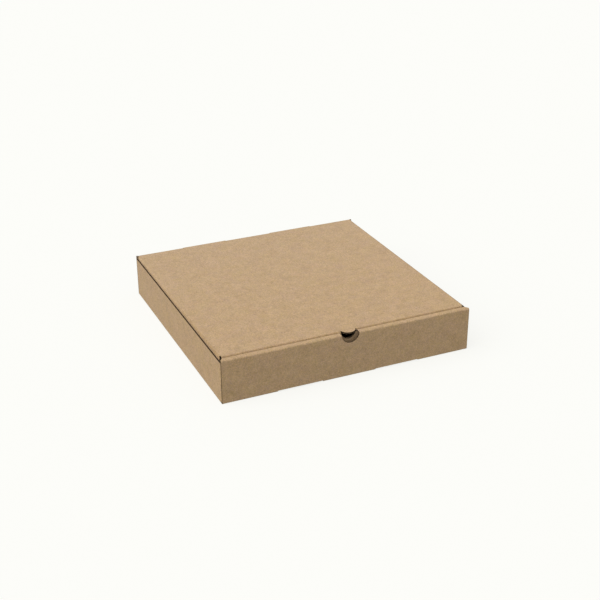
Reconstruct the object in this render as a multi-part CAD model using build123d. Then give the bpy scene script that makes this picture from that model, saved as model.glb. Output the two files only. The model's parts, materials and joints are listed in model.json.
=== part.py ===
from build123d import *
import os
from math import pi, radians, sqrt, tan

# Pizza box, closed. The origin is on the floor under the middle of the box.
# X runs to the right, Y from the front wall to the hinge, Z up. All sizes are in millimetres.

# The whole box
box_width = 310.0
box_depth = 310.0
box_height = 53.6

# The board and how it bends
board = 1.8
crease_inner_radius = 0.2
layer_gap = 0.3  # between layers of board that lie side by side

# The side walls and the corner flaps on their ends
side_wall_drop = 3.2  # how far a side wall's cut top edge lies under the lid's face
corner_flap_length = 55.0
corner_flap_taper = 4.0

# The front wall: a panel, a strip over its top and a panel inside, held by two tabs
strip_depth = 7.7
panel_end_inset = 0.8
strip_end_square = 0.5  # how much of the strip's end, next to its inner fold, is cut square
tab_near = 33.2
tab_far = 88.3
tab_clearance = 0.4
tab_end_height = 0.4
slot_rise = 1.8  # how far a tab's slot reaches up the front panel

# The finger notch, cut through the layers of the front wall
notch_radius = 11.1
inner_notch_radius = 8.9

# The hinge along the top of the back wall, with two slits cut in its crease
hinge_end_inset = 3.0
hinge_gap = 0.3
wall_ear_drop = 0.4  # how far the back wall's ends, beside the hinge, lie under the lid's face
slit_near = 31.5
slit_far = 91.2

# The lid's front edge, with its tuck flap
crease_gap = 1.1  # between the strip and the lid's front edge
tuck_height = 38.0
tuck_lean = 3.8
tuck_end_slope = 10.0
tuck_corner_radius = 12.0
flap_hole_radius = 9.8

# The thumb lip that stands out of the lid's front edge
lip_reach = 4.1
lip_half_width = 8.5
lip_offset = 1.9  # how far right of the middle the lip and the hole in the flap lie
lip_root = 1.2  # how far behind the crease the lip's round edge begins
lip_slit = 1.6  # how far the cuts beside the lip run into the lid

# The lid's side flaps, parted from its front edge by a slit at each corner
side_flap_height = 36.0
side_flap_slope = 12.0
side_flap_corner_radius = 10.0
side_flap_setback = 1.1  # how far behind the crease along the strip a side flap's front edge lies
relief_length = 3.4
relief_width = 0.6
relief_drop = 1.0

# Sizes that follow from these
fold_radius = crease_inner_radius + board
middle_radius = crease_inner_radius + board / 2
layer_pitch = board + layer_gap
half_width = box_width / 2
front_y = -box_depth / 2
back_y = box_depth / 2
wall_top = box_height - side_wall_drop
wall_end = back_y - layer_pitch - fold_radius
panel_half_width = half_width - panel_end_inset
hinge_half_width = half_width - hinge_end_inset
lid_under = box_height - board
lid_middle = box_height - board / 2
lid_half_width = half_width - layer_pitch
lid_fold_x = lid_half_width - fold_radius
crease_y = front_y + strip_depth
lid_front_y = crease_y + crease_gap
strip_half_width = lid_fold_x - layer_gap
tab_front_y = front_y + 2 * layer_pitch
relief_y = lid_front_y + relief_length
side_flap_front = crease_y + side_flap_setback
side_flap_back = back_y - 2 * layer_pitch - layer_gap

# The lid turns about a line just outside the fold, where the fold's outer face keeps its length
hinge_offset = (1 - pi / 4) * fold_radius
hinge_y = back_y - hinge_offset

beyond = 10.0  # how far a cutting shape reaches past what it cuts


def prism(plane, outline, start, stop):
    return extrude(plane.offset(start) * outline, stop - start)


def bent_board(plane, middle_line, start, stop):
    # a board whose middle follows a line, with a rounded fold at each corner of it
    path = FilletPolyline(*middle_line, radius=middle_radius)
    return prism(plane, trace(path, board), start, stop)


def block(x_range, y_range, z_range):
    ranges = (x_range, y_range, z_range)
    size = [high - low for low, high in ranges]
    middle = [(low + high) / 2 for low, high in ranges]
    return Pos(*middle) * Box(*size)


def closed_outline(points):
    return make_face(Polyline(*points, close=True))


def rounded_outline(points, rounded, radius):
    # a closed outline with the corners named in rounded cut to a radius
    outline = closed_outline(points)
    for place in rounded:
        corner = outline.vertices().sort_by_distance(points[place])[0]
        outline = fillet(corner, radius)
    return outline


def disc(radius, y_range, middle_x=0):
    # a round cutting shape at the level of the box's top, which runs from front to back
    length = y_range[1] - y_range[0]
    return Pos(middle_x, sum(y_range) / 2, box_height) * Rot(90, 0, 0) * Cylinder(radius, length)


def both_sides(shape):
    return shape + mirror(shape, Plane.YZ)


def front_and_back(shape):
    return shape + mirror(shape, Plane.XZ)


# The tray


def floor_and_side_walls():
    middle_x = half_width - board / 2
    middle_line = [
        (wall_top, -middle_x),
        (board / 2, -middle_x),
        (board / 2, middle_x),
        (wall_top, middle_x),
    ]
    walls = bent_board(Plane.ZX, middle_line, -wall_end, wall_end)
    floor_end = block(
        (-panel_half_width, panel_half_width),
        (wall_end, back_y - fold_radius),
        (0, board),
    )
    return walls + front_and_back(floor_end)


def corner_flap():
    # the flap at the front left corner, folded off the end of the side wall
    middle_x = -half_width + board / 2
    middle_y = front_y + layer_pitch + board / 2
    tip_x = -half_width + corner_flap_length
    middle_line = [(middle_x, -wall_end + fold_radius), (middle_x, middle_y), (tip_x, middle_y)]
    flap = bent_board(Plane.XY, middle_line, board + layer_gap, wall_top)
    fold_x = -half_width + fold_radius
    cut_off = closed_outline([
        (fold_x, wall_top),
        (tip_x, wall_top - corner_flap_taper),
        (tip_x + beyond, wall_top - corner_flap_taper),
        (tip_x + beyond, wall_top + beyond),
        (fold_x, wall_top + beyond),
    ])
    return flap - prism(Plane.XZ, cut_off, 0, box_depth)


def front_panel():
    # the outer panel, with its fold to the floor and the front half of the strip
    middle_y = front_y + board / 2
    middle_line = [
        (-wall_end, board / 2),
        (middle_y, board / 2),
        (middle_y, lid_middle),
        (front_y + strip_depth / 2, lid_middle),
    ]
    return bent_board(Plane.YZ, middle_line, -panel_half_width, panel_half_width)


def front_inner_panel():
    # the back half of the strip and the inner panel, which leans forward to the slots
    middle_line = [
        (front_y + strip_depth / 2, lid_middle),
        (crease_y - board / 2, lid_middle),
        (tab_front_y + board / 2, tab_end_height),
    ]
    panel = bent_board(Plane.YZ, middle_line, -panel_half_width, panel_half_width)
    foot = (-beyond, board + layer_gap)
    between_tabs = block((-tab_near, tab_near), (front_y, 0), foot)
    past_tab = block((tab_far, box_width), (front_y, 0), foot)
    return panel - between_tabs - both_sides(past_tab)


def strip_end():
    # what is cut off the right end of the strip and of the inner panel
    outline = closed_outline([
        (panel_half_width, front_y + board),
        (strip_half_width, crease_y - strip_end_square),
        (strip_half_width, 0),
        (box_width, 0),
        (box_width, front_y + board),
    ])
    return prism(Plane.XY, outline, 0, box_height + beyond)


def finger_notch():
    outer = disc(notch_radius, (front_y - beyond, front_y + strip_depth / 2))
    inner = disc(inner_notch_radius, (front_y, crease_y + beyond))
    over_strip = block(
        (-notch_radius, notch_radius),
        (front_y, crease_y + beyond),
        (box_height - fold_radius, box_height + beyond),
    )
    return outer + inner + over_strip


def tab_slot():
    # the right slot, through the fold at the foot of the front panel
    return block(
        (tab_near - tab_clearance, tab_far + tab_clearance),
        (front_y - beyond, tab_front_y + board + tab_clearance),
        (-beyond, slot_rise),
    )


def hinge_fold(span, side):
    # one half of the fold between back wall and lid, parted along the fold's diagonal:
    # side is 1 for the lid's half and -1 for the wall's
    middle_line = [
        (back_y - board / 2, wall_top - fold_radius),
        (back_y - board / 2, lid_middle),
        (back_y - 2 * layer_pitch, lid_middle),
    ]
    shift = side * hinge_gap / 2 * sqrt(2)
    low = (back_y - box_height, shift)
    high = (back_y + beyond, box_height + beyond + shift)
    corner = (low[0], high[1]) if side > 0 else (high[0], low[1])
    half = prism(Plane.YZ, closed_outline([low, high, corner]), *span)
    return bent_board(Plane.YZ, middle_line, *span) & half


def hinge_folds(side):
    # the three stretches of the hinge that are folded, and not slit
    spans = [
        (-hinge_half_width, -slit_far),
        (-slit_near, slit_near),
        (slit_far, hinge_half_width),
    ]
    return [hinge_fold(span, side) for span in spans]


def back_wall():
    # the wall, with its two ends that stand up beside the hinge
    middle_y = back_y - board / 2
    middle_line = [(wall_end, board / 2), (middle_y, board / 2), (middle_y, lid_under - hinge_gap)]
    wall = bent_board(Plane.YZ, middle_line, -panel_half_width, panel_half_width)
    ear = block(
        (hinge_half_width + hinge_gap, panel_half_width),
        (back_y - board, back_y),
        (wall_top, box_height - wall_ear_drop),
    )
    return wall + both_sides(ear)


def make_tray():
    notch = finger_notch()
    ends = both_sides(strip_end())
    body = floor_and_side_walls() + both_sides(front_and_back(corner_flap()))
    body += front_panel() - ends - notch
    body -= both_sides(tab_slot())
    body += front_inner_panel() - ends - notch
    body += back_wall()
    for fold in hinge_folds(-1):
        body += fold
    return body


# The lid


def lid_with_side_flaps():
    middle_x = lid_half_width - board / 2
    low = box_height - side_flap_height
    shoulder = box_height - relief_drop
    run_in = side_flap_height * tan(radians(side_flap_slope))
    middle_line = [(low, -middle_x), (lid_middle, -middle_x), (lid_middle, middle_x), (low, middle_x)]
    sheet = bent_board(Plane.ZX, middle_line, side_flap_front, side_flap_back)
    outline = rounded_outline(
        [
            (relief_y, box_height),
            (side_flap_front, shoulder),
            (side_flap_front + run_in, low),
            (side_flap_back - run_in, low),
            (side_flap_back, shoulder),
            (side_flap_back, box_height),
        ],
        (2, 3),
        side_flap_corner_radius,
    )
    sheet &= prism(Plane.YZ, outline, -box_width, box_width)
    in_front = block((-lid_fold_x, lid_fold_x), (front_y, relief_y), (0, box_height + beyond))
    return sheet - in_front


def flap_hole():
    # the half-moon through the tuck flap, and above it the two short cuts beside the lip
    over_slits = block(
        (-lid_fold_x, lid_fold_x),
        (lid_front_y + lip_slit, 0),
        (box_height - fold_radius, box_height + beyond),
    )
    return disc(flap_hole_radius, (front_y, relief_y), lip_offset) - over_slits


def lid_front():
    # the panel's front end, its fold and the tuck flap, which leans back as it goes down
    half = lid_fold_x - relief_width
    low = box_height - tuck_height
    lean = (lid_middle - low) * tan(radians(tuck_lean))
    middle_y = lid_front_y + board / 2
    middle_line = [(relief_y, lid_middle), (middle_y, lid_middle), (middle_y + lean, low)]
    front = bent_board(Plane.YZ, middle_line, -half, half)
    narrowing = tuck_height * tan(radians(tuck_end_slope))
    outline = rounded_outline(
        [
            (-half, box_height),
            (-half + narrowing, low - board),
            (half - narrowing, low - board),
            (half, box_height),
        ],
        (1, 2),
        tuck_corner_radius,
    )
    front &= prism(Plane.XZ, outline, 0, box_depth)
    return front - flap_hole()


def thumb_lip():
    start_y = crease_y + lip_root
    seat_y = relief_y
    edge = ThreePointArc((-lip_half_width, start_y), (0, crease_y - lip_reach), (lip_half_width, start_y))
    sides = Polyline(
        (lip_half_width, start_y),
        (lip_half_width, seat_y),
        (-lip_half_width, seat_y),
        (-lip_half_width, start_y),
    )
    return Pos(lip_offset, 0, 0) * prism(Plane.XY, make_face([edge, sides]), lid_under, box_height)


def lid_back():
    # the panel's back end, and its square ends over the slits in the hinge
    thickness = (lid_under, box_height)
    middle_part = block(
        (-hinge_half_width, hinge_half_width),
        (side_flap_back, back_y - fold_radius),
        thickness,
    )
    over_slit = block(
        (slit_near + hinge_gap, slit_far - hinge_gap),
        (back_y - fold_radius, hinge_y),
        thickness,
    )
    return middle_part + both_sides(over_slit)


def make_lid():
    body = lid_with_side_flaps() + lid_front() + thumb_lip() + lid_back()
    for fold in hinge_folds(1):
        body += fold
    return body


os.makedirs("parts", exist_ok=True)
for name, shape in {"tray": make_tray(), "lid": make_lid()}.items():
    print(name, "solids", len(shape.solids()), "volume", round(shape.volume))
    export_step(shape, f"parts/{name}.step")
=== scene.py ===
import json
import math

import bmesh
import bpy
import numpy as np
from mathutils import Matrix, Vector


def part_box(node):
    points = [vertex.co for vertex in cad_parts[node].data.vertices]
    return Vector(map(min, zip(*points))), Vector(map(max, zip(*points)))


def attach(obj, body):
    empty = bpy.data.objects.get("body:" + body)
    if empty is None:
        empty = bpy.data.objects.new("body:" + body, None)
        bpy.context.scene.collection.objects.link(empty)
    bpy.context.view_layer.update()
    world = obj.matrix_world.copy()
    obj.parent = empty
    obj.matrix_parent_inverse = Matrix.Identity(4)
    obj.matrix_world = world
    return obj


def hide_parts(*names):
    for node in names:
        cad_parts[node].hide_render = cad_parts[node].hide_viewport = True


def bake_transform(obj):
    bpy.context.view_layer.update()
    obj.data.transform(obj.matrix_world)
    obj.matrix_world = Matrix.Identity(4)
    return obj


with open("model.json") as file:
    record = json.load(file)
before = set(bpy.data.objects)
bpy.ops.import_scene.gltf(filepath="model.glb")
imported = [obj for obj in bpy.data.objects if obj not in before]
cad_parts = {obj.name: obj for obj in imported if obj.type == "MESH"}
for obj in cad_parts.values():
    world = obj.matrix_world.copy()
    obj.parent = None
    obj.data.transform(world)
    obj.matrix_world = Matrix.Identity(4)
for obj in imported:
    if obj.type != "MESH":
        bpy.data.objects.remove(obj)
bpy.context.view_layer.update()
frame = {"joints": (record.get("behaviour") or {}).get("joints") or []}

# Pizza box folded from kraft corrugated board: liners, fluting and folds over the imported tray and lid.
# Lengths are in millimetres until a mesh is made. X runs to the right, Y from front to hinge, Z up.

metre = 0.001
trayLow, trayHigh = [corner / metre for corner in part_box("tray")]
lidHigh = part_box("lid")[1] / metre
halfWide = trayHigh.x
frontY = trayLow.y
backY = trayHigh.y
topZ = trayHigh.z
hingeY = frame["joints"][0]["pos_m"][1] / metre

board = {
    "thick": 1.8,
    "liner": 0.28,          # outer and inner liner
    "fluting": 0.14,        # the wavy paper between them
    "flutePitch": 4.1,
    "waveSteps": 8,
    "foldInside": 0.2,      # radius inside a fold
    "foldSteps": 9,         # faces across a fold of a liner
    "fluteFoldSteps": 4,    # and across a fold of the fluting
    "arcSteps": 24,         # sides of a round cut
    "gap": 0.3,             # between boards that lie side by side
    "fluteReach": 7.0,      # how deep the fluting is drawn behind a cut edge
    "sharpAngle": 35.0,     # degrees. A sharper edge isn't smoothed
    "foldShadeRamp": 0.2,        # share of a fold over which its painted shade comes in at each side
}
# distances too small to matter when a board is cut into cells and bent
close = {"run": 1e-9, "same": 1e-6, "column": 1e-3, "corner": 2e-3, "row": 2e-3}
half = board["thick"] / 2
middleRadius = board["foldInside"] + half
foldRadius = board["foldInside"] + board["thick"]
pitch = board["thick"] + board["gap"]
waveHeight = half - board["liner"] - board["fluting"] / 2


# A board is laid out flat first: t runs across its folds' ends and s along its middle line.


def foldLine(corners, side=0):
    # the board's middle line with a round fold at each corner, as runs and folds in order of s
    points = [np.array(corner, float) for corner in corners]
    line = {"runs": [], "folds": [], "side": side}
    here = points[0]
    s = 0.0
    for before, corner, after in zip(points, points[1:], points[2:]):
        into = (corner - before) / np.linalg.norm(corner - before)
        out = (after - corner) / np.linalg.norm(after - corner)
        angle = math.atan2(into[0] * out[1] - into[1] * out[0], into @ out)
        cut = middleRadius * math.tan(abs(angle) / 2)
        line["side"] = 1 if angle > 0 else -1
        length = max(np.linalg.norm(corner - into * cut - here), 0)
        line["runs"].append((s, here, into))
        s += length
        foldStart = corner - into * cut
        centre = foldStart + line["side"] * middleRadius * np.array([-into[1], into[0]])
        line["folds"].append((s, s + abs(angle) * middleRadius, centre, foldStart - centre, angle))
        s += abs(angle) * middleRadius
        here = corner + out * cut
    direction = (points[-1] - points[-2]) / np.linalg.norm(points[-1] - points[-2])
    line["runs"].append((s, here, direction))
    line["end"] = s + np.linalg.norm(points[-1] - here)
    return line


def along(line, run, axis, value):
    # s where a straight run reaches a coordinate
    s, start, direction = line["runs"][run]
    return s + (value - start[axis]) / direction[axis]


def bend(line, s, lift):
    # flat place to folded place: lift is the height over the middle line, positive towards the outer liner
    place = np.zeros((len(s), 2))
    for start, here, direction in line["runs"]:
        past = s >= start - close["run"]
        outward = -line["side"] * np.array([-direction[1], direction[0]])
        place[past] = here + (s[past, None] - start) * direction + lift[past, None] * outward
    for start, end, centre, arm, angle in line["folds"]:
        inside = (s > start) & (s < end)
        turn = angle * (s[inside] - start) / (end - start)
        unit = arm / middleRadius
        spun = np.stack([
            unit[0] * np.cos(turn) - unit[1] * np.sin(turn),
            unit[0] * np.sin(turn) + unit[1] * np.cos(turn),
        ], axis=1)
        place[inside] = centre + spun * (middleRadius + lift[inside, None])
    return place


def foldRows(line, steps):
    rows = []
    for start, end, *_ in line["folds"]:
        rows += list(np.linspace(start, end, steps + 1))
    return rows


def mirrored(points):
    # half an outline, from t = 0 to t = 0, closed with its mirror image
    other = [(-t, s) for t, s in reversed(points) if t > 0]
    return points + other


def rounded(before, corner, after, radius, steps=8):
    # points of a round corner in an outline
    before, corner, after = [np.array(p, float) for p in (before, corner, after)]
    a = (before - corner) / np.linalg.norm(before - corner)
    b = (after - corner) / np.linalg.norm(after - corner)
    opening = math.acos(np.clip(a @ b, -1, 1))
    centre = corner + (a + b) / np.linalg.norm(a + b) * radius / math.sin(opening / 2)
    first = corner + a * radius / math.tan(opening / 2) - centre
    last = corner + b * radius / math.tan(opening / 2) - centre
    sweep = math.pi - opening
    blend = np.linspace(0, 1, steps + 1)
    return [
        tuple(centre + (math.sin((1 - k) * sweep) * first + math.sin(k * sweep) * last) / math.sin(sweep))
        for k in blend
    ]


def crossings(loops, t0, t1):
    # the edges that a narrow strip of board meets, in pairs: s in its middle and at both of its sides
    middle = (t0 + t1) / 2
    found = []
    for loop in loops:
        for (a, sA), (b, sB) in zip(loop, loop[1:] + loop[:1]):
            if (a - middle) * (b - middle) < 0:
                slope = (sB - sA) / (b - a)
                found.append((sA + (middle - a) * slope, sA + (t0 - a) * slope, sA + (t1 - a) * slope))
    found.sort()
    return list(zip(found[::2], found[1::2]))


def layOut(loops, rows, columns=()):
    # flat cells inside an outline and its holes, cut at every row and column
    ts = set(columns)
    rows = sorted(set(np.round(rows, 5)))
    for loop in loops:
        for (t0, s0), (t1, s1) in zip(loop, loop[1:] + loop[:1]):
            ts.add(t0)
            if abs(t1 - t0) < close["same"]:
                rows = sorted(set(rows) | {round(s0, 5), round(s1, 5)})
    lines = []
    for t in sorted(ts):
        if not lines or t - lines[-1] > close["column"]:
            lines.append(t)
    corners = np.array(lines)
    crossed = []
    for loop in loops:
        for (t0, s0), (t1, s1) in zip(loop, loop[1:] + loop[:1]):
            for row in rows:
                if (s0 - row) * (s1 - row) < 0 and abs(t1 - t0) > close["same"]:
                    t = t0 + (row - s0) * (t1 - t0) / (s1 - s0)
                    if np.abs(corners - t).min() > close["corner"]:
                        crossed.append(t)
    for t in sorted(crossed):
        if np.abs(np.array(lines) - t).min() > close["column"]:
            lines.append(t)
    lines.sort()
    index = {}
    cells = []

    def vertex(t, s):
        return index.setdefault((round(t, 3), round(s, 3)), len(index))

    for t0, t1 in zip(lines, lines[1:]):
        for (_, low0, low1), (_, high0, high1) in crossings(loops, t0, t1):
            low = max(low0, low1) + close["row"]
            high = min(high0, high1) - close["row"]
            between = [row for row in rows if low < row < high]
            left = [low0] + between + [high0]
            right = [low1] + between + [high1]
            for k in range(len(left) - 1):
                ring = [
                    vertex(t0, left[k]),
                    vertex(t1, right[k]),
                    vertex(t1, right[k + 1]),
                    vertex(t0, left[k + 1]),
                ]
                ring = [v for n, v in enumerate(ring) if v != ring[n - 1]]
                if len(set(ring)) == len(ring) > 2:
                    cells.append(ring)
    return np.array(list(index), float), cells


def nearEdge(flat, loops, reach):
    # keeps the cells that lie near a cut edge
    points, cells = flat
    centres = np.array([points[cell].mean(0) for cell in cells])
    nearest = np.full(len(cells), math.inf)
    for loop in loops:
        for start, end in zip(loop, loop[1:] + loop[:1]):
            start, end = np.array(start), np.array(end)
            way = end - start
            if way @ way < close["same"] ** 2:
                continue
            part = np.clip((centres - start) @ way / (way @ way), 0, 1)
            nearest = np.minimum(nearest, np.linalg.norm(centres - start - part[:, None] * way, axis=1))
    return points, [cell for cell, gap in zip(cells, nearest) if gap < reach]


class Layer:
    # collects the closed skins of one paper layer, to make one mesh of them
    def __init__(self):
        self.points = []
        self.faces = []
        self.places = []
        self.foldShade = []
        self.count = 0

    def add(self, flat, sheet, over, under):
        points, cells = flat
        used = sorted({v for cell in cells for v in cell})
        order = {v: n for n, v in enumerate(used)}
        points = points[used]
        cells = [[order[v] for v in cell] for cell in cells]
        t, s = points[:, 0], points[:, 1]
        blank = sheet["blank"](t, s)
        # the sheet's list of shaded folds says how strong the painted shade on each fold is at its lowest
        # and its highest t
        foldShade = np.zeros(len(s))
        for number, ends in sheet.get("shadedFolds", {}).items():
            start, end = sheet["line"]["folds"][number][:2]
            inside = np.minimum(s - start, end - s) / (end - start)
            ramp = np.clip(inside / board["foldShadeRamp"], 0, 1)
            foldShade += np.interp(t, [t.min(), t.max()], ends) * ramp
        for lift in (over, under):
            height = lift(blank) if callable(lift) else np.full(len(s), lift)
            bent = bend(sheet["line"], s, height)
            self.points.append(sheet["stand"](bent[:, 0], bent[:, 1], t))
            self.places.append(np.stack([blank[0], blank[1], height], axis=1))
            self.foldShade.append(foldShade)
        size = len(points)
        edges = {}              # in the order in which they are met
        for cell in cells:
            self.faces.append([self.count + v for v in cell])
            self.faces.append([self.count + size + v for v in reversed(cell)])
            for edge in zip(cell, cell[1:] + cell[:1]):
                edges[edge] = True
        for a, b in edges:
            if (b, a) not in edges:
                self.faces.append([self.count + v for v in (b, a, a + size, b + size)])
        self.count += 2 * size

    def make(self, name, material):
        mesh = bpy.data.meshes.new(name)
        points = np.concatenate(self.points) * metre
        mesh.from_pydata(points.tolist(), [], self.faces)
        place = mesh.attributes.new("sheetPlace", "FLOAT_VECTOR", "POINT")
        place.data.foreach_set("vector", np.concatenate(self.places).ravel().astype(np.float32))
        foldShade = mesh.attributes.new("paintedFoldShade", "FLOAT", "POINT")
        foldShade.data.foreach_set("value", np.concatenate(self.foldShade).astype(np.float32))
        tidy = bmesh.new()
        tidy.from_mesh(mesh)
        bmesh.ops.recalc_face_normals(tidy, faces=tidy.faces)
        tidy.to_mesh(mesh)
        tidy.free()
        mesh.shade_smooth()
        mesh.set_sharp_from_angle(angle=math.radians(board["sharpAngle"]))
        mesh.materials.append(material)
        piece = bpy.data.objects.new(name, mesh)
        bpy.context.scene.collection.objects.link(piece)
        print(name, len(mesh.polygons), "faces")
        return piece


def standing(plane, flipX=1, flipY=1):
    # how a folded section a, b and its length t stand in the box
    def stand(a, b, t):
        if plane == "yz":
            return np.stack([flipX * t, flipY * a, b], axis=1)
        if plane == "xz":
            return np.stack([flipX * a, flipY * t, b], axis=1)
        return np.stack([flipX * a, flipY * b, t], axis=1)
    return stand


def wave(blank):
    # how far the fluting is from the board's middle
    return waveHeight * np.sin(2 * math.pi * blank[0] / board["flutePitch"])


def drawBoard(layers, sheet, loops, flutesAcross):
    # both liners and the fluting of one board. flutesAcross: the flutes run along t instead of along s
    line = sheet["line"]
    extraRows = sheet.get("rows", [])
    rows = foldRows(line, board["foldSteps"]) + extraRows
    skin = layOut(loops, rows)
    layers["outer"].add(skin, sheet, half, half - board["liner"])
    layers["inner"].add(skin, sheet, -half + board["liner"], -half)
    step = board["flutePitch"] / board["waveSteps"]
    reach = board["fluteReach"]
    allT = [t for loop in loops for t, s in loop]
    allS = [s for loop in loops for t, s in loop]
    if flutesAcross:
        rows = rows + list(np.arange(min(allS) + step, max(allS), step))
        flat = layOut(loops, rows)
    else:
        columns = np.arange(math.ceil(min(allT) / step) * step, max(allT), step)
        rows = foldRows(line, board["fluteFoldSteps"]) + extraRows
        for s in sorted(set(np.round(allS, 2))):
            rows += [s - reach, s + reach]
        flat = nearEdge(layOut(loops, rows, columns), loops, reach)
    paper = board["fluting"] / 2
    layers["fluting"].add(flat, sheet, lambda b: wave(b) + paper, lambda b: wave(b) - paper)


def newLayers():
    return {"outer": Layer(), "inner": Layer(), "fluting": Layer()}


# Materials


def addNode(tree, kind, inputs=None, **settings):
    node = tree.nodes.new(kind)
    for key, value in settings.items():
        setattr(node, key, value)
    for key, value in (inputs or {}).items():
        if isinstance(value, bpy.types.NodeSocket):
            tree.links.new(value, node.inputs[key])
        else:
            node.inputs[key].default_value = value
    return node


def calculate(tree, operation, a, b=0.0, c=0.0):
    return addNode(tree, "ShaderNodeMath", {0: a, 1: b, 2: c}, operation=operation).outputs[0]


def vectors(tree, operation, a, b):
    return addNode(tree, "ShaderNodeVectorMath", {0: a, 1: b}, operation=operation).outputs[0]


def scaled(tree, vector, amount):
    return addNode(tree, "ShaderNodeVectorMath", {0: vector, "Scale": amount}, operation="SCALE").outputs[0]


def noise(tree, place, look, output="Fac"):
    # look: features per mm, octaves, roughness and stretch
    perMm, octaves, roughness, *stretch = look
    if stretch:
        place = vectors(tree, "MULTIPLY", place, stretch[0])
    inputs = {"Vector": place, "Scale": perMm, "Detail": octaves, "Roughness": roughness}
    return addNode(tree, "ShaderNodeTexNoise", inputs).outputs[output]


def mapRange(tree, value, fromMin, fromMax, toMin, toMax):
    inputs = {
        "Value": value,
        "From Min": fromMin,
        "From Max": fromMax,
        "To Min": toMin,
        "To Max": toMax,
    }
    return addNode(tree, "ShaderNodeMapRange", inputs).outputs["Result"]


noiseMiddle = 0.5


def kraftPaper(name, look):
    material = bpy.data.materials.new(name)
    material.use_nodes = True
    tree = material.node_tree
    shader = tree.nodes["Principled BSDF"]
    place = addNode(tree, "ShaderNodeAttribute", attribute_name="sheetPlace").outputs["Vector"]
    split = addNode(tree, "ShaderNodeSeparateXYZ", {0: place}).outputs
    # mottle, from millimetres to centimetres, and fine grain: each is lighter or darker, bluer or less
    # blue, greener or less green
    spots = None
    for part in ("mottle", "grain"):
        centred = vectors(tree, "SUBTRACT", noise(tree, place, look[part], "Color"), [noiseMiddle] * 3)
        layer = vectors(tree, "MULTIPLY", centred, look[part + "Strength"])
        spots = vectors(tree, "ADD", layer, spots) if spots else layer
    light, blue, green = addNode(tree, "ShaderNodeSeparateXYZ", {0: spots}).outputs
    streak = noise(tree, place, look["streak"])
    wavesPerMm = 2 * math.pi / board["flutePitch"]
    ripple = calculate(tree, "SINE", calculate(tree, "MULTIPLY", split[0], wavesPerMm))
    shade = calculate(tree, "ADD", light, 1.0)
    centred = calculate(tree, "SUBTRACT", streak, noiseMiddle)
    shade = calculate(tree, "MULTIPLY_ADD", centred, look["streakStrength"], shade)
    shade = calculate(tree, "MULTIPLY_ADD", ripple, look["ripple"], shade)
    tint = addNode(
        tree, "ShaderNodeCombineXYZ",
        {0: shade, 1: calculate(tree, "ADD", shade, green), 2: calculate(tree, "ADD", shade, blue)},
    ).outputs[0]
    # painted light tint: from the sheet's middle to its ends the colour loses more blue than red, a painted
    # warm-light gradient; and painted shade darkens the shaded folds
    fromMiddle = calculate(tree, "MINIMUM", calculate(tree, "ABSOLUTE", split[1]), look["driftReach"])
    foldShade = addNode(tree, "ShaderNodeAttribute", attribute_name="paintedFoldShade").outputs["Fac"]
    for part, amount in (("lightTint", fromMiddle), ("foldShadeLoss", foldShade)):
        left = vectors(tree, "SUBTRACT", (1, 1, 1), scaled(tree, look[part], amount))
        tint = vectors(tree, "MULTIPLY", tint, left)
    # rare dark specks, and darker colour towards the fluting on cut edges and hidden liner faces: partly
    # the cut paper's own tone, partly painted shade of the narrow gaps and flute hollows
    speck = noise(tree, place, look["speck"])
    speckTo = look["speckFrom"] + look["speckEdge"]
    speck = mapRange(tree, speck, look["speckFrom"], speckTo, 1.0, look["speckDark"])
    depth = calculate(tree, "ABSOLUTE", split[2])
    cutFrom = half - board["liner"] * look["cutShare"]
    cut = mapRange(tree, depth, cutFrom, half - look["skin"], look["cutDark"], 1.0)
    dark = calculate(tree, "MULTIPLY", speck, cut)
    base = vectors(tree, "MULTIPLY", tint, look["colour"])
    tree.links.new(scaled(tree, base, dark), shader.inputs["Base Color"])
    shader.inputs["Roughness"].default_value = look["roughness"]
    shader.inputs["Specular IOR Level"].default_value = look["specular"]
    height = calculate(tree, "MULTIPLY", ripple, look["rippleHeight"])
    height = calculate(tree, "MULTIPLY_ADD", streak, look["streakHeight"], height)
    height = calculate(tree, "MULTIPLY_ADD", light, look["spotHeight"], height)
    bump = addNode(tree, "ShaderNodeBump", {"Height": height, "Distance": metre, "Strength": 1.0})
    tree.links.new(bump.outputs["Normal"], shader.inputs["Normal"])
    return material


outerLook = {
    "colour": (0.524, 0.367, 0.220),
    "lightTint": (0.00004, 0.00011, 0.00025),   # painted light tint, lost for each mm from the sheet's middle
    "driftReach": 320.0,
    "foldShadeLoss": (0.20, 0.23, 0.32),         # painted shade, lost where a fold is fully shaded
    "mottle": (0.06, 5, 1.0),               # features per mm, octaves, roughness
    "mottleStrength": (0.70, 0.62, 0.16),   # of light, blue and green
    "grain": (0.7, 2, 1.0),
    "grainStrength": (1.25, 1.00, 0.05),
    "streak": (0.8, 3, 0.6, (1.6, 0.16, 1)),
    "streakStrength": 0.10,
    "ripple": 0.004,                        # the fluting showing through
    "speck": (0.7, 1, 0.5),
    "speckFrom": 0.80,
    "speckEdge": 0.04,
    "speckDark": 0.70,
    # cut edges and hidden liner faces: partly the paper's own tone, partly painted shade
    "cutDark": 0.14,
    "cutShare": 0.8,                        # of the liner's thickness, is dark on a cut edge
    "skin": 0.01,                           # its faces keep their own tone to this depth
    "roughness": 0.88,
    "specular": 0.25,
    "rippleHeight": 0.006,
    "streakHeight": 0.05,
    "spotHeight": 0.10,
}
innerLook = outerLook | {
    # darker than the outer liner: partly the inner liner's own tone, partly painted shade for the shaded
    # faces inside the notch
    "colour": (0.400, 0.281, 0.169),
    "ripple": 0.010,
    "rippleHeight": 0.012,
}
flutingLook = outerLook | {
    # very dark: partly the medium's own tone, partly painted shade of the flute hollows
    "colour": (0.120, 0.078, 0.042),
    "ripple": 0.0,
    "cutDark": 1.0,
    "foldShadeLoss": (0, 0, 0),
    "rippleHeight": 0.0,
}
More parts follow.
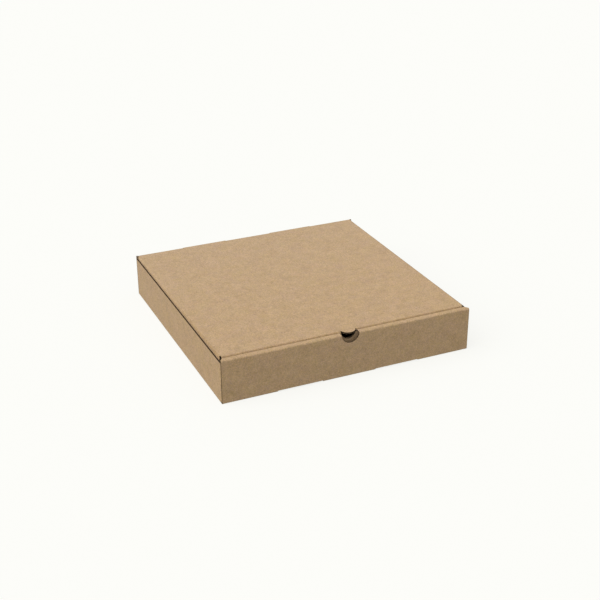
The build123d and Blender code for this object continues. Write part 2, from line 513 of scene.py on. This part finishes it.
papers = {
    "outer": kraftPaper("kraft outer liner", outerLook),
    "inner": kraftPaper("kraft inner liner", innerLook),
    "fluting": kraftPaper("kraft fluting", flutingLook),
}
print("papers are ready")


def makePieces(layers, name):
    for layer, part in (("outer", "OuterLiner"), ("inner", "InnerLiner"), ("fluting", "Fluting")):
        yield layer, layers[layer].make(name + part, papers[layer])


# Tray

tray = {
    "sideWallDrop": 3.2,    # side walls' cut edge under the lid's face
    "cornerFlap": 55.0,
    "cornerFlapTaper": 4.0,
    "strip": 7.7,
    "stripSquare": 0.5,     # how much of the strip's end, at its inner fold, is cut square
    "endInset": 0.8,        # front and back walls' ends from the side walls' faces
    "tabNear": 33.2,
    "tabFar": 88.3,
    "tabPlay": 0.4,
    "tabFoot": 0.4,         # the tabs' ends over the table
    "slotRise": 1.8,        # how far the tabs' slots reach up the fold at the front wall's foot
    "notchRadius": 11.1,
    "innerNotchRadius": 8.9,
    "hingeInset": 3.0,      # the hinge's ends from the side walls' faces
    "hingeSeam": 3.7,       # the hinge is drawn from this far under the slits up
    "earDrop": 0.4,         # the back wall's ends stand beside the hinge, this far under the lid's face
    "slitNear": 31.5,
    "slitFar": 91.2,
}
panelHalf = halfWide - tray["endInset"]
hingeHalf = halfWide - tray["hingeInset"]
wallEnd = backY - pitch - foldRadius
wallTop = topZ - tray["sideWallDrop"]
lidUnder = topZ - board["thick"]
lidMiddle = topZ - half
foldLevel = topZ - foldRadius               # where the folds along the top begin
creaseY = frontY + tray["strip"]
lidFoldX = lidHigh.x - foldRadius
stripHalf = lidFoldX - board["gap"]
wallRim = lidUnder - board["gap"]
earTop = topZ - tray["earDrop"]
seamZ = wallRim - tray["hingeSeam"]
seamPlace = seamZ - earTop                  # place on the blank, which trayMain's line starts at 0
tabY = frontY + 2 * pitch


def arcDown(radius):
    # a half-moon cut from the top level down to a radius, right to left: x and depth under the top
    first = math.asin(foldRadius / radius)
    angles = np.linspace(first, math.pi - first, board["arcSteps"] + 1)
    return [(radius * math.cos(a), radius * math.sin(a)) for a in angles]


def trayMain():
    line = foldLine([
        (backY - half, earTop),
        (backY - half, half),
        (frontY + half, half),
        (frontY + half, lidMiddle),
        (creaseY - half, lidMiddle),
        (tabY + half, tray["tabFoot"]),
    ])
    seam = along(line, 0, 1, seamZ)
    rim = along(line, 0, 1, wallRim)
    floorBack = along(line, 1, 0, wallEnd)
    floorFront = along(line, 1, 0, -wallEnd)
    foot = along(line, 4, 1, board["thick"] + board["gap"])
    stripStart = line["folds"][2][1]
    squareY = frontY + tray["strip"] - tray["stripSquare"]
    start, end = line["folds"][3][:2]
    # on the fold, s follows from how far back the middle line has come
    turn = math.asin(min((squareY - (creaseY - foldRadius)) / foldRadius, 1))
    stripSquare = start + turn * middleRadius
    outline = mirrored([
        (0, seam),
        (tray["slitNear"], seam),
        (tray["slitNear"], rim),
        (tray["slitFar"], rim),
        (tray["slitFar"], seam),
        (hingeHalf, seam),
        (hingeHalf, rim),
        (hingeHalf + board["gap"], rim),
        (hingeHalf + board["gap"], 0),
        (panelHalf, 0),
        (panelHalf, floorBack),
        (halfWide - foldRadius, floorBack),
        (halfWide - foldRadius, floorFront),
        (panelHalf, floorFront),
        (panelHalf, stripStart),
        (stripHalf, stripSquare),
        (stripHalf, foot),
        (tray["tabFar"], foot),
        (tray["tabFar"], line["end"]),
        (tray["tabNear"], line["end"]),
        (tray["tabNear"], foot),
        (0, foot),
    ])
    wide = tray["notchRadius"]
    frontLevel = along(line, 2, 1, foldLevel)
    innerLevel = along(line, 4, 1, foldLevel)
    notch = [(x, along(line, 2, 1, topZ - drop)) for x, drop in arcDown(wide)]
    notch += [(-wide, frontLevel), (-wide, innerLevel)]
    notch += [(-x, along(line, 4, 1, topZ - drop)) for x, drop in arcDown(tray["innerNotchRadius"])]
    notch += [(wide, innerLevel), (wide, frontLevel)]
    slotBack = along(line, 1, 0, tabY + board["thick"] + tray["tabPlay"])
    slotFront = line["folds"][1][1] - (foldRadius - tray["slotRise"])
    near, far = tray["tabNear"] - tray["tabPlay"], tray["tabFar"] + tray["tabPlay"]
    slots = [
        [(side * near, slotBack), (side * far, slotBack), (side * far, slotFront), (side * near, slotFront)]
        for side in (-1, 1)
    ]
    sheet = {
        "line": line,
        "stand": standing("yz"),
        "blank": lambda t, s: (t, -s),
        "shadedFolds": {3: (0.5, 0.5)},        # painted shade in the crease beside the lid
    }
    return sheet, [outline, notch, *slots]


floorMiddle = along(trayMain()[0]["line"], 1, 0, 0)


def traySide(side):
    line = foldLine([(halfWide - foldRadius, half), (halfWide - half, half), (halfWide - half, wallTop)])
    outline = [(-wallEnd, 0), (wallEnd, 0), (wallEnd, line["end"]), (-wallEnd, line["end"])]
    sheet = {
        "line": line,
        "stand": standing("xz", side),
        "blank": lambda t, s: (side * (halfWide - foldRadius + s), t - floorMiddle),
    }
    return sheet, [outline]


def cornerFlap(sideX, sideY):
    flapY = -frontY - pitch - half
    line = foldLine([
        (halfWide - half, wallEnd),
        (halfWide - half, flapY),
        (halfWide - tray["cornerFlap"], flapY),
    ])
    low = board["thick"] + board["gap"]
    tip = wallTop - tray["cornerFlapTaper"]
    outline = [
        (low, 0),
        (wallTop, 0),
        (wallTop, line["folds"][0][1]),
        (tip, line["end"]),
        (low, line["end"]),
    ]
    sheet = {
        "line": line,
        "stand": standing("xy", sideX, sideY),
        "blank": lambda t, s: (sideX * (halfWide + t), sideY * (wallEnd + s) - floorMiddle),
    }
    return sheet, [outline]


trayLayers = newLayers()
drawBoard(trayLayers, *trayMain(), flutesAcross=False)
for side in (-1, 1):
    drawBoard(trayLayers, *traySide(side), flutesAcross=True)
    for end in (-1, 1):
        drawBoard(trayLayers, *cornerFlap(side, end), flutesAcross=False)
for layer, piece in makePieces(trayLayers, "tray"):
    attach(piece, "tray")
    if layer == "outer":
        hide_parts("tray")
print("tray is folded")

# Lid

lid = {
    "creaseGap": 1.1,       # between the strip and the lid's front edge
    "tuckHeight": 38.0,
    "tuckLean": 3.8,        # degrees, as are both slopes
    "tuckEndSlope": 10.0,
    "tuckCorner": 12.0,
    "flapHoleRadius": 9.8,
    "lipReach": 4.1,        # the lip's tip in front of the crease
    "lipHalf": 8.5,
    "lipOffset": 1.9,       # how far right of the middle the lip and the flap's hole lie
    "lipRoot": 1.2,         # its widest place behind the crease
    "lipSlit": 1.6,         # its cuts' ends behind the lid's front edge
    "sideHeight": 36.0,
    "sideSlope": 12.0,
    "sideCorner": 10.0,
    "sideSetback": 1.1,     # side flaps' front edge behind the crease
    "relief": 3.4,          # the slits at the lid's front corners
    "reliefWidth": 0.6,
    "reliefDrop": 1.0,
    "reliefTurns": (0, 10, 20, 30, 40, 50, 60, 90),  # degrees round the fold
}
lidFront = creaseY + lid["creaseGap"]
reliefY = lidFront + lid["relief"]
sideFront = creaseY + lid["sideSetback"]
sideBack = backY - 2 * pitch - board["gap"]
lipSlitY = lidFront + lid["lipSlit"]


def hingeLine():
    return foldLine([(backY - half, seamZ), (backY - half, lidMiddle), (sideBack, lidMiddle)])


joinPlace = seamPlace + hingeLine()["end"]  # place on the blank where the hinge meets the lid


def lidMain():
    low = topZ - lid["tuckHeight"]
    lean = (lidMiddle - low) * math.tan(math.radians(lid["tuckLean"]))
    line = foldLine([(lidFront + half + lean, low), (lidFront + half, lidMiddle), (hingeY, lidMiddle)])
    frontHalf = lidFoldX - lid["reliefWidth"]
    foldStart = line["folds"][0][0]
    narrow = foldStart * math.tan(math.radians(lid["tuckEndSlope"]))
    corner = (frontHalf - narrow, 0)
    reliefS = along(line, 1, 0, reliefY)
    joinS = along(line, 1, 0, sideBack)
    near, far = tray["slitNear"] + board["gap"], tray["slitFar"] - board["gap"]
    outline = mirrored([
        (0, 0),
        *rounded((0, 0), corner, (frontHalf, foldStart), lid["tuckCorner"]),
        (frontHalf, foldStart),
        (frontHalf, reliefS),
        (lidFoldX, reliefS),
        (lidFoldX, joinS),
        (far, joinS),
        (far, line["end"]),
        (near, line["end"]),
        (near, joinS),
        (0, joinS),
    ])
    radius = lid["flapHoleRadius"]
    hole = [(x, along(line, 0, 1, topZ - drop)) for x, drop in arcDown(radius)]
    # the cuts beside the lip end within the fold
    slitS = foldStart + middleRadius * math.acos(max(1 - lid["lipSlit"] / foldRadius, 0))
    hole += [(-radius, slitS), (radius, slitS)]
    hole = [(x + lid["lipOffset"], s) for x, s in hole]
    sheet = {
        "line": line,
        "stand": standing("yz"),
        "blank": lambda t, s: (t, joinPlace + joinS - s),
        "shadedFolds": {0: (0.6, 0.6)},        # painted shade on the lid's front edge, beside the crease
    }
    return sheet, [outline, hole]


def thumbLip():
    tipY = creaseY - lid["lipReach"]
    wingY = creaseY + lid["lipRoot"]
    line = foldLine([(tipY, lidMiddle), (lipSlitY, lidMiddle)], side=-1)
    wide, deep = lid["lipHalf"], wingY - tipY
    radius = (wide ** 2 + deep ** 2) / (2 * deep)
    reachAngle = math.asin(wide / radius)
    edge = [
        (radius * math.sin(a), radius * (1 - math.cos(a)))
        for a in np.linspace(-reachAngle, reachAngle, board["arcSteps"] + 1)
    ]
    outline = edge + [(wide, line["end"]), (-wide, line["end"])]
    outline = [(x + lid["lipOffset"], s) for x, s in outline]
    tipPlace = joinPlace + sideBack - tipY
    sheet = {"line": line, "stand": standing("yz"), "blank": lambda t, s: (t, tipPlace - s)}
    return sheet, [outline]


def sideFlap(side):
    middleX = lidHigh.x - half
    low = topZ - lid["sideHeight"]
    line = foldLine([(lidFoldX, lidMiddle), (middleX, lidMiddle), (middleX, low)])
    foldEnd = line["folds"][0][1]
    slope = (line["end"] - foldEnd) * math.tan(math.radians(lid["sideSlope"]))
    frontCorner = (sideFront + slope, line["end"])
    backCorner = (sideBack - slope, line["end"])
    # the slit at the lid's front corner closes on its way down the fold
    taper = []
    for turn in np.radians(lid["reliefTurns"]):
        drop = foldRadius * (1 - math.cos(turn))
        left = max(1 - drop / lid["reliefDrop"], 0)
        taper.append((sideFront + (reliefY - sideFront) * left, middleRadius * turn))
    outline = [
        (sideBack, 0),
        *taper,
        *rounded(taper[-1], frontCorner, backCorner, lid["sideCorner"]),
        *rounded(frontCorner, backCorner, (sideBack, foldEnd), lid["sideCorner"]),
        (sideBack, foldEnd),
    ]
    sheet = {
        "line": line,
        "stand": standing("xz", side),
        "blank": lambda t, s: (side * (lidFoldX + s), joinPlace + sideBack - t),
        "shadedFolds": {0: (1, 0.1)},          # painted shade, most at the front corner
    }
    return sheet, [outline]


lidLayers = newLayers()
drawBoard(lidLayers, *lidMain(), flutesAcross=False)
drawBoard(lidLayers, *thumbLip(), flutesAcross=False)
for side in (-1, 1):
    drawBoard(lidLayers, *sideFlap(side), flutesAcross=True)
for layer, piece in makePieces(lidLayers, "lid"):
    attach(piece, "lid")
    if layer == "outer":
        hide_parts("lid")
print("lid is folded")

# The fold between back wall and lid

hinge = {
    "rows": 25,             # enough of them to bend all along
    "hold": 0.15,           # share of the fold at each side, meant to stay with its own board
}


def hingeStretch(near, far):
    line = hingeLine()
    outline = [(near, 0), (far, 0), (far, line["end"]), (near, line["end"])]
    sheet = {
        "line": line,
        "stand": standing("yz"),
        "blank": lambda t, s: (t, seamPlace + s),
        "rows": list(np.linspace(0, line["end"], hinge["rows"])),
    }
    return sheet, [outline]


hingeLayers = newLayers()
for near, far in (
    (-hingeHalf, -tray["slitFar"]),
    (-tray["slitNear"], tray["slitNear"]),
    (tray["slitFar"], hingeHalf),
):
    drawBoard(hingeLayers, *hingeStretch(near, far), flutesAcross=False)
for _, piece in makePieces(hingeLayers, "hinge"):
    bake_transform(piece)
print("hinge is folded")

# Floor, light and camera

studio = {
    "white": (0.9823, 0.9823, 0.9473),
    "floorGlow": (0.37, 0.365, 0.33),    # what the floor sends back up, level all over
    "shadow": 0.16,                      # how much of the box's shadow the floor shows
    "sky": (0.5, 0.5, 0.5),
    "keyPower": 2.0,
    "keyFrom": (-0.635, -0.11, 0.765),
    "keyAngle": 70.0,
    "floorSize": 8.0,
}


def whereSeen(tree, seen, unseen):
    # one shader for what the camera, gloss and glass see, and another for light that falls on the box
    path = addNode(tree, "ShaderNodeLightPath").outputs
    either = calculate(tree, "MAXIMUM", path["Is Camera Ray"], path["Is Glossy Ray"])
    either = calculate(tree, "MAXIMUM", either, path["Is Transmission Ray"])
    mix = addNode(tree, "ShaderNodeMixShader", {0: either, 1: unseen, 2: seen})
    return mix.outputs[0]


def glow(tree, kind, colour):
    return addNode(tree, kind, {"Color": (*colour, 1), "Strength": 1.0}).outputs[0]


def makeStudio():
    size = studio["floorSize"]
    mesh = bpy.data.meshes.new("floor")
    corners = [(-size, -size, 0), (size, -size, 0), (size, size, 0), (-size, size, 0)]
    mesh.from_pydata(corners, [], [(0, 1, 2, 3)])
    floor = bpy.data.objects.new("floor", mesh)
    bpy.context.scene.collection.objects.link(floor)
    material = bpy.data.materials.new("pale floor")
    material.use_nodes = True
    tree = material.node_tree
    tree.nodes.remove(tree.nodes["Principled BSDF"])
    matt = addNode(tree, "ShaderNodeBsdfDiffuse", {"Color": (*studio["white"], 1)}).outputs[0]
    white = glow(tree, "ShaderNodeEmission", studio["white"])
    seen = addNode(tree, "ShaderNodeMixShader", {0: studio["shadow"], 1: white, 2: matt}).outputs[0]
    shader = whereSeen(tree, seen, glow(tree, "ShaderNodeEmission", studio["floorGlow"]))
    tree.links.new(shader, tree.nodes["Material Output"].inputs["Surface"])
    mesh.materials.append(material)
    world = bpy.data.worlds.new("studio")
    world.use_nodes = True
    tree = world.node_tree
    tree.nodes.remove(tree.nodes["Background"])
    white = glow(tree, "ShaderNodeBackground", studio["white"])
    shader = whereSeen(tree, white, glow(tree, "ShaderNodeBackground", studio["sky"]))
    tree.links.new(shader, tree.nodes["World Output"].inputs["Surface"])
    bpy.context.scene.world = world
    lamp = bpy.data.lights.new("key", "SUN")
    lamp.energy = studio["keyPower"]
    lamp.angle = math.radians(studio["keyAngle"])
    key = bpy.data.objects.new("key", lamp)
    key.rotation_mode = "QUATERNION"
    key.rotation_quaternion = Vector(studio["keyFrom"]).to_track_quat("Z", "Y")
    bpy.context.scene.collection.objects.link(key)
    bpy.context.scene.view_settings.view_transform = "Standard"


# fitted to the photo's edges, with the box 310 mm wide
shot = {
    "place": (-510.14, -1157.04, 637.13),
    "azimuth": 24.1040,     # right of the box's own depth
    "elevation": 25.7472,   # looking down
    "roll": -0.1913,
    "focal": 1135.25,       # in pixels of a frame 600 wide
    "frameWidth": 600,
    "sensor": 36.0,
    "reach": 50.0,
}


def makeCamera():
    az, el, roll = [math.radians(shot[key]) for key in ("azimuth", "elevation", "roll")]
    ahead = np.array([math.sin(az) * math.cos(el), math.cos(az) * math.cos(el), -math.sin(el)])
    right = np.cross(ahead, [0, 0, 1])
    right /= np.linalg.norm(right)
    up = np.cross(right, ahead)
    rolledRight = math.cos(roll) * right + math.sin(roll) * up
    rolledUp = -math.sin(roll) * right + math.cos(roll) * up
    turned = Matrix(np.stack([rolledRight, rolledUp, -ahead], axis=1).tolist()).to_4x4()
    lens = bpy.data.cameras.new("camera")
    lens.sensor_width = shot["sensor"]
    lens.lens = shot["focal"] / shot["frameWidth"] * lens.sensor_width
    lens.clip_end = shot["reach"]
    camera = bpy.data.objects.new("camera", lens)
    camera.matrix_world = Matrix.Translation([v * metre for v in shot["place"]]) @ turned
    bpy.context.scene.collection.objects.link(camera)
    bpy.context.scene.camera = camera


makeStudio()
makeCamera()
print("studio is lit")
